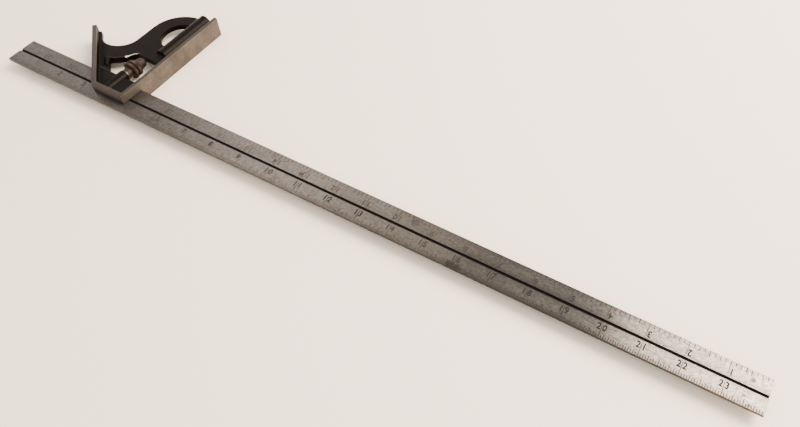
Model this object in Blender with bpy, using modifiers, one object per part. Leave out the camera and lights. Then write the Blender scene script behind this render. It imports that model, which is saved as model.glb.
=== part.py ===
"""Combination square: a 24 inch grooved rule in a cast square head with a spirit level."""

import math

import bmesh
import bpy

MM = 0.001
INCH = 25.4 * MM
CLEARANCE = 0.3 * MM

# Rule
RULE_LENGTH = 24 * INCH
RULE_WIDTH = 1 * INCH
RULE_THICK = 3 / 32 * INCH
GROOVE_WIDTH = 2.0 * MM
GROOVE_DEPTH = 0.9 * MM

# Square head, measured from the corner where the 90 degree face meets the base
HEAD_THICK = 17.0 * MM
FACE_LENGTH = 111.4 * MM
BASE_LENGTH = 30.1 * MM
MITRE_RUN = 52.2 * MM
FACE_WALL = 3.2 * MM
BASE_WALL = 4.3 * MM
MITRE_WALL = 3.7 * MM
WEB_THICK = 4.4 * MM
BLOCK_THICK = 5.6 * MM
BLOCK_HEIGHT = 22.0 * MM
RULE_BELOW_BASE = 6.5 * MM
FACE_FROM_RULE_END = 117.6 * MM

# The web's S-shaped edge: a hollow beside the mitre, then a shoulder above it
HOLLOW_CENTRE = (-61.8 * MM, 63.0 * MM)
HOLLOW_RADIUS = 17.1 * MM
SHOULDER_CENTRE = (-17.6 * MM, 82.2 * MM)
SHOULDER_RADIUS = 27.1 * MM
NUB_CORNER = (-77.6 * MM, 55.5 * MM)

# Window beside the level, and window around the nut
EYE_CENTRE = (-16.6 * MM, 82.2 * MM)
EYE_RADIUS = 15.6 * MM
NUT_WINDOW_TOP = 48.3 * MM
NUT_WINDOW_BAND = 34.4 * MM
NUT_WINDOW_RIGHT = -5.5 * MM
NUT_WINDOW_MITRE = -14.0 * MM

# Lock
LOCK_X = -23.8 * MM
BOSS_RADIUS = 5.0 * MM
BOSS_END = 25.7 * MM
BOLT_RADIUS = 3.4 * MM
SHANK_RADIUS = 2.35 * MM
BOLT_TRAVEL = 0.5 * MM
LIP_WIDTH = 0.9 * MM
WASHER_THICK = 1.1 * MM
WASHER_RADIUS = 4.4 * MM
SPRING_WIRE = 0.3 * MM
SPRING_TURNS = 4.5
NUT_LENGTH = 18.6 * MM
NUT_RADIUS = 6.8 * MM

# Level
LEVEL_X = -14.3 * MM
LEVEL_RADIUS = 5.7 * MM
LEVEL_START = 57.0 * MM
LEVEL_BORE = 4.3 * MM
BORE_START = 60.0 * MM
SIGHT_MIDDLE = 83.0 * MM
SIGHT_LENGTH = 26.0 * MM
SIGHT_HEIGHT = 4.8 * MM
SLEEVE_WALL = 0.45 * MM
VIAL_RADIUS = 3.2 * MM
VIAL_WALL = 0.7 * MM
VIAL_LENGTH = 34.0 * MM

# Places worked out from the sizes above
HEAD_X = FACE_FROM_RULE_END - RULE_LENGTH / 2
DEPTH = RULE_BELOW_BASE + FACE_LENGTH
RULE_Y = RULE_WIDTH / 2 - DEPTH / 2
HEAD_Y = RULE_BELOW_BASE - DEPTH / 2
MID_Z = HEAD_THICK / 2
RULE_TOP = RULE_THICK / 2
SLOT_TOP = RULE_WIDTH - RULE_BELOW_BASE + CLEARANCE
GROOVE_MIDDLE = RULE_WIDTH / 2 - RULE_BELOW_BASE
LIP_TOP = GROOVE_MIDDLE + GROOVE_WIDTH / 2 - CLEARANCE
BOLT_END = LIP_TOP - LIP_WIDTH
BOLT_SHOULDER = SLOT_TOP + BOLT_TRAVEL + 0.6 * MM
WASHER_START = BOSS_END + CLEARANCE
NUT_START = WASHER_START + WASHER_THICK + CLEARANCE
SLEEVE_RADIUS = LEVEL_BORE - CLEARANCE
SLEEVE_START = BORE_START + CLEARANCE
SLEEVE_END = 104.0 * MM
VIAL_START = SIGHT_MIDDLE - VIAL_LENGTH / 2
VIAL_END = SIGHT_MIDDLE + VIAL_LENGTH / 2


def clear_scene():
    for old in list(bpy.data.objects):
        bpy.data.objects.remove(old, do_unlink=True)


def new_collection(name):
    group = bpy.data.collections.new(name)
    bpy.context.scene.collection.children.link(group)
    return group


def new_material(name, colour, roughness, metallic, alpha=1.0):
    finish = bpy.data.materials.new(name)
    finish.use_nodes = True
    shader = finish.node_tree.nodes["Principled BSDF"]
    shader.inputs["Base Color"].default_value = (*colour, 1.0)
    shader.inputs["Roughness"].default_value = roughness
    shader.inputs["Metallic"].default_value = metallic
    shader.inputs["Alpha"].default_value = alpha
    return finish


def add_object(name, mesh, finish, parent, group):
    part = bpy.data.objects.new(name, mesh)
    group.objects.link(part)
    part.parent = parent
    if finish is not None:
        mesh.materials.append(finish)
    return part


def mesh_from(bm, name):
    bmesh.ops.recalc_face_normals(bm, faces=bm.faces)
    mesh = bpy.data.meshes.new(name)
    bm.to_mesh(mesh)
    bm.free()
    return mesh


def box_mesh(name, low, high):
    bm = bmesh.new()
    bmesh.ops.create_cube(bm, size=1.0)
    size = [b - a for a, b in zip(low, high)]
    middle = [(a + b) / 2 for a, b in zip(low, high)]
    bmesh.ops.scale(bm, vec=size, verts=bm.verts)
    bmesh.ops.translate(bm, vec=middle, verts=bm.verts)
    return mesh_from(bm, name)


def arc(centre, radius, start, end, steps):
    points = []
    for step in range(steps + 1):
        angle = math.radians(start + (end - start) * step / steps)
        points.append((centre[0] + radius * math.cos(angle), centre[1] + radius * math.sin(angle)))
    return points


def plate_mesh(name, outlines, thickness):
    """A flat plate in the XY plane from one outer outline and any holes."""
    curve = bpy.data.curves.new(name, "CURVE")
    curve.dimensions = "2D"
    curve.fill_mode = "BOTH"
    curve.extrude = thickness / 2
    for outline in outlines:
        spline = curve.splines.new("POLY")
        spline.points.add(len(outline) - 1)
        for point, (x, y) in zip(spline.points, outline):
            point.co = (x, y, 0.0, 1.0)
        spline.use_cyclic_u = True
    guide = bpy.data.objects.new(name, curve)
    bpy.context.scene.collection.objects.link(guide)
    bpy.context.view_layer.update()
    evaluated = guide.evaluated_get(bpy.context.evaluated_depsgraph_get())
    mesh = bpy.data.meshes.new_from_object(evaluated)
    bpy.data.objects.remove(guide, do_unlink=True)
    bm = bmesh.new()
    bm.from_mesh(mesh)
    bmesh.ops.remove_doubles(bm, verts=bm.verts, dist=0.001 * MM)
    bm.to_mesh(mesh)
    bm.free()
    mesh.materials.clear()
    return mesh


def turned(name, profile, finish, parent, group, x, steps, phase=0.0):
    """A piece turned about the line x, parallel to +Y; the profile is (radius, distance) pairs."""
    mesh = bpy.data.meshes.new(name)
    points = [(radius * math.cos(phase), radius * math.sin(phase), along) for radius, along in profile]
    edges = [(i, i + 1) for i in range(len(points) - 1)]
    if profile[0][0] > 0.0:
        edges.append((len(points) - 1, 0))
    mesh.from_pydata(points, edges, [])
    part = add_object(name, mesh, finish, parent, group)
    part.location = (x, 0.0, 0.0)
    part.rotation_euler = (-math.pi / 2, 0.0, 0.0)
    screw = part.modifiers.new("turn", "SCREW")
    screw.axis = "Z"
    screw.steps = steps
    screw.render_steps = steps
    screw.use_merge_vertices = True
    screw.merge_threshold = 0.001 * MM
    screw.use_smooth_shade = False
    return part


def boolean(part, tool, operation):
    change = part.modifiers.new(tool.name, "BOOLEAN")
    change.operation = operation
    change.object = tool
    change.solver = "EXACT"


def make_tool(name, mesh, parent, group):
    tool = add_object(name, mesh, None, parent, group)
    tool.hide_render = True
    tool.display_type = "WIRE"
    return tool


def turned_tool(name, radius, start, end, parent, group, x, steps, phase=0.0):
    tool = turned(name, rod_profile(radius, start, end), None, parent, group, x, steps, phase)
    tool.hide_render = True
    tool.display_type = "WIRE"
    return tool


def rod_profile(radius, start, end):
    return [(0.0, end), (radius, end), (radius, start), (0.0, start)]


def tube_profile(outer, inner, start, end):
    return [(outer, end), (outer, start), (inner, start), (inner, end)]


def make_rule(parts, tools):
    low = (-RULE_LENGTH / 2, RULE_Y - RULE_WIDTH / 2, MID_Z - RULE_TOP)
    high = (RULE_LENGTH / 2, RULE_Y + RULE_WIDTH / 2, MID_Z + RULE_TOP)
    finish = new_material("aged_rule_steel", (0.27, 0.25, 0.23), 0.42, 0.9)
    rule = add_object("rule_blade", box_mesh("rule_blade", low, high), finish, None, parts)
    over = 5 * MM
    low = (-RULE_LENGTH / 2 - over, RULE_Y - GROOVE_WIDTH / 2, MID_Z + RULE_TOP - GROOVE_DEPTH)
    high = (RULE_LENGTH / 2 + over, RULE_Y + GROOVE_WIDTH / 2, MID_Z + RULE_TOP + over)
    boolean(rule, make_tool("rule_groove", box_mesh("rule_groove", low, high), None, tools), "DIFFERENCE")


def rim_outline():
    """The ground rim: 90 degree face, base and 45 degree face as one bent wall."""
    slant = MITRE_WALL * math.sqrt(2)
    end = MITRE_WALL / math.sqrt(2)
    corner = -BASE_LENGTH + slant - BASE_WALL
    return [
        (0.0, 0.0),
        (0.0, FACE_LENGTH),
        (-FACE_WALL, FACE_LENGTH),
        (-FACE_WALL, BASE_WALL),
        (corner, BASE_WALL),
        (-BASE_LENGTH - MITRE_RUN + end, MITRE_RUN + end),
        (-BASE_LENGTH - MITRE_RUN, MITRE_RUN),
        (-BASE_LENGTH, 0.0),
    ]


def mitre_x(height, inset):
    """X of a line parallel to the 45 degree face, inset from it, at a height above the base."""
    return -BASE_LENGTH + inset * math.sqrt(2) - height


def web_outline():
    inside = MITRE_WALL / 2
    top = SHOULDER_CENTRE[1] + SHOULDER_RADIUS
    hollow = arc(HOLLOW_CENTRE, HOLLOW_RADIUS, 240, 360, 24)
    shoulder = arc(SHOULDER_CENTRE, SHOULDER_RADIUS, 180, 90, 16)
    low = BASE_WALL / 2
    nub_x, nub_y = NUB_CORNER
    nub_depth = (nub_x - mitre_x(nub_y, inside)) / 2
    return [
        (-FACE_WALL / 2, low),
        (mitre_x(low, inside), low),
        (nub_x - nub_depth, nub_y - nub_depth),
        NUB_CORNER,
        *hollow,
        *shoulder,
        (-FACE_WALL / 2, top),
    ]


def nut_window_outline():
    upper = arc(HOLLOW_CENTRE, NUT_WINDOW_BAND, -63, -26, 10)
    left = upper[0]
    floor = BLOCK_HEIGHT - 1 * MM
    return [
        (NUT_WINDOW_RIGHT, floor),
        (NUT_WINDOW_RIGHT, NUT_WINDOW_TOP - 1 * MM),
        (upper[-1][0] + 1.5 * MM, NUT_WINDOW_TOP),
        *upper[::-1],
        (NUT_WINDOW_MITRE - left[1] + 0.2 * MM, left[1]),
        (NUT_WINDOW_MITRE - floor, floor),
    ]


def block_outline():
    inside = MITRE_WALL / 2
    low = BASE_WALL / 2
    return [
        (-FACE_WALL / 2, low),
        (-FACE_WALL / 2, BLOCK_HEIGHT),
        (mitre_x(BLOCK_HEIGHT, inside), BLOCK_HEIGHT),
        (mitre_x(low, inside), low),
    ]


def make_head(frame, parts, tools):
    finish = new_material("black_japanned_iron", (0.022, 0.021, 0.020), 0.38, 0.0)
    head = add_object("square_head", plate_mesh("rim", [rim_outline()], HEAD_THICK), finish, frame, parts)
    eye = arc(EYE_CENTRE, EYE_RADIUS, 98, 262, 20)
    web_mesh = plate_mesh("web", [web_outline(), eye, nut_window_outline()], WEB_THICK)
    boolean(head, make_tool("web", web_mesh, frame, tools), "UNION")
    block_mesh = plate_mesh("block", [block_outline()], BLOCK_THICK)
    boolean(head, make_tool("block", block_mesh, frame, tools), "UNION")
    low = BASE_WALL / 2
    boss = turned_tool("boss", BOSS_RADIUS, low, BOSS_END, frame, tools, LOCK_X, 32)
    boolean(head, boss, "UNION")
    barrel = turned_tool("barrel", LEVEL_RADIUS, LEVEL_START, FACE_LENGTH, frame, tools, LEVEL_X, 40)
    boolean(head, barrel, "UNION")
    tie_low = (LEVEL_X + LEVEL_RADIUS - 0.7 * MM, LEVEL_START + 1 * MM, -WEB_THICK / 2 - 0.4 * MM)
    tie_high = (-FACE_WALL / 2, FACE_LENGTH - 1 * MM, WEB_THICK / 2 + 0.4 * MM)
    boolean(head, make_tool("tie", box_mesh("tie", tie_low, tie_high), frame, tools), "UNION")
    cut_head(head, frame, tools)


def cut_head(head, frame, tools):
    over = 10 * MM
    half_slot = RULE_TOP + CLEARANCE
    reach = BASE_LENGTH + SLOT_TOP + over
    slot_mesh = box_mesh("slot", (-reach, -over, -half_slot), (over, SLOT_TOP, half_slot))
    boolean(head, make_tool("slot", slot_mesh, frame, tools), "DIFFERENCE")
    hole_start = BOLT_END - BOLT_TRAVEL - CLEARANCE
    hole_end = BOSS_END + over / 10
    hole_radius = BOLT_RADIUS + CLEARANCE
    half_facet = math.pi / 32
    hole = turned_tool("bolt_hole", hole_radius, hole_start, hole_end, frame, tools, LOCK_X, 32, half_facet)
    boolean(head, hole, "DIFFERENCE")
    bore_end = FACE_LENGTH + over
    bore = turned_tool("level_bore", LEVEL_BORE, BORE_START, bore_end, frame, tools, LEVEL_X, 32, half_facet)
    boolean(head, bore, "DIFFERENCE")
    sight_low = (LEVEL_X - over, SIGHT_MIDDLE - SIGHT_LENGTH / 2, -SIGHT_HEIGHT / 2)
    sight_high = (LEVEL_X - LEVEL_BORE / 2, SIGHT_MIDDLE + SIGHT_LENGTH / 2, SIGHT_HEIGHT / 2)
    sight = make_tool("sight", box_mesh("sight", sight_low, sight_high), frame, tools)
    boolean(head, sight, "DIFFERENCE")


def make_bolt(frame, parts, tools):
    finish = new_material("bright_bolt_steel", (0.36, 0.34, 0.32), 0.35, 1.0)
    bolt_tip = NUT_START + NUT_LENGTH - 1.5 * MM
    profile = [
        (0.0, bolt_tip),
        (SHANK_RADIUS, bolt_tip),
        (SHANK_RADIUS, BOLT_SHOULDER),
        (BOLT_RADIUS, BOLT_SHOULDER),
        (BOLT_RADIUS, BOLT_END),
        (0.0, BOLT_END),
    ]
    bolt = turned("lock_bolt", profile, finish, frame, parts, LOCK_X, 32)
    wide = 2 * BOLT_RADIUS
    face = RULE_TOP + CLEARANCE
    flat_top = SLOT_TOP + BOLT_TRAVEL + CLEARANCE
    low = (LOCK_X - wide, LIP_TOP, -wide)
    high = (LOCK_X + wide, flat_top, face)
    boolean(bolt, make_tool("bolt_flat", box_mesh("bolt_flat", low, high), frame, tools), "DIFFERENCE")
    low = (LOCK_X - wide, BOLT_END - wide, -wide)
    high = (LOCK_X + wide, LIP_TOP + CLEARANCE / 2, face - GROOVE_DEPTH)
    boolean(bolt, make_tool("lip_flat", box_mesh("lip_flat", low, high), frame, tools), "DIFFERENCE")


def make_nut(frame, parts):
    bore = SHANK_RADIUS + CLEARANCE
    steps = [
        (3.1 * MM, 18.6 * MM),
        (3.7 * MM, 17.9 * MM),
        (5.0 * MM, 11.6 * MM),
        (NUT_RADIUS, 10.9 * MM),
        (NUT_RADIUS, 8.0 * MM),
        (5.5 * MM, 7.8 * MM),
        (5.5 * MM, 7.2 * MM),
        (NUT_RADIUS, 7.0 * MM),
        (NUT_RADIUS, 4.3 * MM),
        (4.2 * MM, 4.1 * MM),
        (4.2 * MM, 0.0),
        (bore, 0.0),
        (bore, NUT_LENGTH),
    ]
    profile = [(radius, NUT_START + along) for radius, along in steps]
    finish = new_material("browned_nut_steel", (0.16, 0.085, 0.06), 0.5, 0.8)
    turned("lock_nut", profile, finish, frame, parts, LOCK_X, 48)


def make_washer_and_spring(frame, parts):
    finish = new_material("bright_washer_steel", (0.42, 0.40, 0.38), 0.35, 1.0)
    hole = SHANK_RADIUS + CLEARANCE
    profile = tube_profile(WASHER_RADIUS, hole, WASHER_START, WASHER_START + WASHER_THICK)
    turned("thrust_washer", profile, finish, frame, parts, LOCK_X, 32)
    curve = bpy.data.curves.new("lock_spring", "CURVE")
    curve.dimensions = "3D"
    curve.bevel_depth = SPRING_WIRE
    curve.bevel_resolution = 2
    curve.use_fill_caps = True
    start = BOLT_SHOULDER + SPRING_WIRE + CLEARANCE
    end = WASHER_START - SPRING_WIRE - CLEARANCE
    coil = (SHANK_RADIUS + BOLT_RADIUS + CLEARANCE) / 2
    count = int(SPRING_TURNS * 16)
    spline = curve.splines.new("POLY")
    spline.points.add(count)
    for step, point in enumerate(spline.points):
        angle = 2 * math.pi * SPRING_TURNS * step / count
        along = start + (end - start) * step / count
        point.co = (LOCK_X + coil * math.cos(angle), along, coil * math.sin(angle), 1.0)
    spring = bpy.data.objects.new("lock_spring", curve)
    curve.materials.append(new_material("spring_wire", (0.30, 0.29, 0.28), 0.4, 1.0))
    parts.objects.link(spring)
    spring.parent = frame


def make_level(frame, parts, tools):
    brass = new_material("level_brass", (0.55, 0.38, 0.16), 0.35, 1.0)
    profile = tube_profile(SLEEVE_RADIUS, SLEEVE_RADIUS - SLEEVE_WALL, SLEEVE_START, SLEEVE_END)
    sleeve = turned("level_sleeve", profile, brass, frame, parts, LEVEL_X, 32)
    margin = 0.8 * MM
    low = (LEVEL_X - 10 * MM, SIGHT_MIDDLE - SIGHT_LENGTH / 2 + margin, -SIGHT_HEIGHT / 2 + margin / 2)
    high = (LEVEL_X - LEVEL_BORE / 2, SIGHT_MIDDLE + SIGHT_LENGTH / 2 - margin, SIGHT_HEIGHT / 2 - margin / 2)
    sight = make_tool("sleeve_sight", box_mesh("sleeve_sight", low, high), frame, tools)
    boolean(sleeve, sight, "DIFFERENCE")

    glass = new_material("vial_glass", (0.85, 0.9, 0.88), 0.05, 0.0, 0.35)
    inner = VIAL_RADIUS - VIAL_WALL
    neck = 0.6 * MM
    profile = [
        (neck, VIAL_END),
        (VIAL_RADIUS * 0.7, VIAL_END),
        (VIAL_RADIUS, VIAL_END - 1.2 * MM),
        (VIAL_RADIUS, VIAL_START + 1.2 * MM),
        (VIAL_RADIUS * 0.7, VIAL_START),
        (neck, VIAL_START),
        (neck, VIAL_START + VIAL_WALL),
        (inner, VIAL_START + 1.5 * MM),
        (inner, VIAL_END - 1.5 * MM),
        (neck, VIAL_END - VIAL_WALL),
    ]
    turned("vial_glass", profile, glass, frame, parts, LEVEL_X, 32)

    spirit = new_material("vial_spirit", (0.75, 0.85, 0.35), 0.05, 0.0, 0.5)
    liquid = rod_profile(inner - CLEARANCE, VIAL_START + 2 * MM, VIAL_END - 2 * MM)
    turned("vial_spirit", liquid, spirit, frame, parts, LEVEL_X, 24)

    plaster = new_material("vial_plaster", (0.75, 0.72, 0.65), 0.9, 0.0)
    seat = SLEEVE_RADIUS - SLEEVE_WALL - CLEARANCE
    near = rod_profile(seat, SLEEVE_START + CLEARANCE, VIAL_START - CLEARANCE)
    turned("plaster_near", near, plaster, frame, parts, LEVEL_X, 24)
    far = rod_profile(seat, VIAL_END + CLEARANCE, SLEEVE_END - CLEARANCE)
    turned("plaster_far", far, plaster, frame, parts, LEVEL_X, 24)

    plug_finish = new_material("plug_brass", (0.45, 0.32, 0.15), 0.45, 1.0)
    plug_end = FACE_LENGTH - 0.4 * MM
    dish = 0.5 * MM
    plug = [
        (0.0, plug_end - dish),
        (SLEEVE_RADIUS * 0.6, plug_end - dish),
        (SLEEVE_RADIUS * 0.75, plug_end),
        (SLEEVE_RADIUS, plug_end),
        (SLEEVE_RADIUS, SLEEVE_END + CLEARANCE),
        (0.0, SLEEVE_END + CLEARANCE),
    ]
    turned("level_end_plug", plug, plug_finish, frame, parts, LEVEL_X, 32)


def main():
    clear_scene()
    parts = new_collection("combination_square")
    tools = new_collection("cutters")
    frame = bpy.data.objects.new("head_frame", None)
    frame.location = (HEAD_X, HEAD_Y, MID_Z)
    parts.objects.link(frame)
    make_rule(parts, tools)
    make_head(frame, parts, tools)
    make_bolt(frame, parts, tools)
    make_nut(frame, parts)
    make_washer_and_spring(frame, parts)
    make_level(frame, parts, tools)


main()
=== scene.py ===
import math
import bpy
import bmesh
from mathutils import Matrix, Vector


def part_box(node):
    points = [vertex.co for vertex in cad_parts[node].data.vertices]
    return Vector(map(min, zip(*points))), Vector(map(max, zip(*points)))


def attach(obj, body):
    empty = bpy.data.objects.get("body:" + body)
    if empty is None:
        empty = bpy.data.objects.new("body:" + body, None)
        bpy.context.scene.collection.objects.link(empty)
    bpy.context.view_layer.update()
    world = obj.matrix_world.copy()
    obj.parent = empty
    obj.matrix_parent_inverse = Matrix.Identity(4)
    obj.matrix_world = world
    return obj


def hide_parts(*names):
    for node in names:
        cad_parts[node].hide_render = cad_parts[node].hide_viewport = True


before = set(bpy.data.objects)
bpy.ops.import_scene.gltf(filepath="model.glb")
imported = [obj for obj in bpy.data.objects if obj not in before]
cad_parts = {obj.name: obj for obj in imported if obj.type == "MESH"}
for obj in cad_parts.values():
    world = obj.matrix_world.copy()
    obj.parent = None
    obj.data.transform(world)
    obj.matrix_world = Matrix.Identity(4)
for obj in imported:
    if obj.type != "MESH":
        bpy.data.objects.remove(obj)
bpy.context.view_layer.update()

mm = 0.001
inch = 25.4 * mm
ruleLow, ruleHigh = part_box("rule_blade")
headLow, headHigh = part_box("square_head")
nutLow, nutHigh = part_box("lock_nut")
plugLow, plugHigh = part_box("level_end_plug")
vialLow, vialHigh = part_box("vial_glass")
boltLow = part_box("lock_bolt")[0]
faceX = headHigh.x  # the 90 degree face
baseY = headLow.y  # the ground base, where the rule comes out
midZ = (headLow.z + headHigh.z) / 2
lockX = (nutLow.x + nutHigh.x) / 2
levelX = (plugLow.x + plugHigh.x) / 2


# shared helpers

# sRGB hex to linear RGBA
def toLinear(code):
    parts = [int(code[i:i + 2], 16) / 255 for i in (0, 2, 4)]
    linear = [c / 12.92 if c <= 0.04045 else ((c + 0.055) / 1.055) ** 2.4 for c in parts]
    return (*linear, 1.0)


def addNode(tree, kind, inputs=None, **settings):
    node = tree.nodes.new(kind)
    for key, value in settings.items():
        setattr(node, key, value)
    for key, value in (inputs or {}).items():
        if isinstance(value, bpy.types.NodeSocket):
            tree.links.new(value, node.inputs[key])
        else:
            node.inputs[key].default_value = value
    return node


def startMaterial(name):
    material = bpy.data.materials.new(name)
    material.use_nodes = True
    tree = material.node_tree
    shader = tree.nodes["Principled BSDF"]
    place = addNode(tree, "ShaderNodeTexCoord").outputs["Object"]
    return material, tree, shader, place


# 1 at the centre, falling to 0 at the radius
def spot(tree, place, centre, radiusMm):
    away = addNode(tree, "ShaderNodeVectorMath", {0: place, 1: centre}, operation="DISTANCE")
    return addNode(tree, "ShaderNodeMapRange", {
        "Value": away.outputs["Value"], "From Min": radiusMm * mm, "From Max": 0.0}).outputs[0]


def makePiece(name, bm, material, body, slot, *nodes, smoothAngle=35):
    mesh = bpy.data.meshes.new(name)
    bm.to_mesh(mesh)
    bm.free()
    mesh.shade_smooth()
    mesh.set_sharp_from_angle(angle=math.radians(smoothAngle))
    mesh.materials.append(material)
    piece = bpy.data.objects.new(name, mesh)
    bpy.context.scene.collection.objects.link(piece)
    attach(piece, body)
    if nodes:
        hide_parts(*nodes)
    return piece


# the evaluated mesh of an object, with its modifiers applied
def meshOf(thing):
    bpy.context.view_layer.update()
    evaluated = thing.evaluated_get(bpy.context.evaluated_depsgraph_get())
    return bpy.data.meshes.new_from_object(evaluated)


# a helper object that is only used to make a piece
def loose(name, bm):
    mesh = bpy.data.meshes.new(name)
    bm.to_mesh(mesh)
    bm.free()
    thing = bpy.data.objects.new(name, mesh)
    bpy.context.scene.collection.objects.link(thing)
    return thing


def cutWith(thing, tools, operation="DIFFERENCE"):
    for tool in tools:
        change = thing.modifiers.new(tool.name, "BOOLEAN")
        change.object = tool
        change.operation = operation
        change.solver = "EXACT"
    mesh = meshOf(thing)
    thing.modifiers.clear()
    thing.data = mesh
    for tool in tools:
        bpy.data.objects.remove(tool, do_unlink=True)


def addBox(bm, low, high):
    middle = (Vector(low) + Vector(high)) / 2
    size = Vector(high) - Vector(low)
    return bmesh.ops.create_cube(bm, size=1.0, matrix=Matrix.LocRotScale(middle, None, size))["verts"]


def boxTool(name, low, high):
    bm = bmesh.new()
    addBox(bm, low, high)
    return loose(name, bm)


def extrudeOutline(points, lowZ, highZ):
    bm = bmesh.new()
    corners = [bm.verts.new((x, y, lowZ)) for x, y in points]
    face = bm.faces.new(corners)
    raised = bmesh.ops.extrude_face_region(bm, geom=[face])["geom"]
    moved = [v for v in raised if isinstance(v, bmesh.types.BMVert)]
    bmesh.ops.translate(bm, vec=(0, 0, highZ - lowZ), verts=moved)
    bmesh.ops.recalc_face_normals(bm, faces=bm.faces)
    return bm


def softenEdges(bm, width, segments, angle=30):
    sharp = [e for e in bm.edges if len(e.link_faces) == 2 and e.calc_face_angle(0) > math.radians(angle)]
    bmesh.ops.bevel(bm, geom=sharp, offset=width, offset_type="OFFSET", affect="EDGES",
                    segments=segments, profile=0.5, material=-1, clamp_overlap=True)


# spin (radius, y) pairs about the line x, midZ, parallel to Y
def turn(profile, x, steps, closed=False):
    bm = bmesh.new()
    ring = [bm.verts.new((x + radius, y, midZ)) for radius, y in profile]
    edges = [bm.edges.new(pair) for pair in zip(ring, ring[1:])]
    if closed:
        edges.append(bm.edges.new((ring[-1], ring[0])))
    bmesh.ops.spin(bm, geom=ring + edges, cent=(x, 0, midZ), axis=(0, 1, 0),
                   angle=2 * math.pi, steps=steps, use_merge=True)
    bmesh.ops.remove_doubles(bm, verts=bm.verts, dist=0.001 * mm)
    bmesh.ops.recalc_face_normals(bm, faces=bm.faces)
    return bm


# materials

# a value that follows (share of the rule's length, value) points
def curveAlong(tree, place, points):
    along = addNode(tree, "ShaderNodeSeparateXYZ", {0: place}).outputs["X"]
    share = addNode(tree, "ShaderNodeMapRange", {
        "Value": along, "From Min": ruleLow.x, "From Max": ruleHigh.x}).outputs[0]
    ramp = addNode(tree, "ShaderNodeValToRGB", {"Fac": share})
    ramp.color_ramp.elements[0].position = points[0][0]
    ramp.color_ramp.elements[1].position = points[-1][0]
    for position, value in points[1:-1]:
        ramp.color_ramp.elements.new(position)
    for element, (position, value) in zip(ramp.color_ramp.elements, points):
        element.color = toLinear("%02x" % value * 3)
    return ramp.outputs["Color"]


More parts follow.
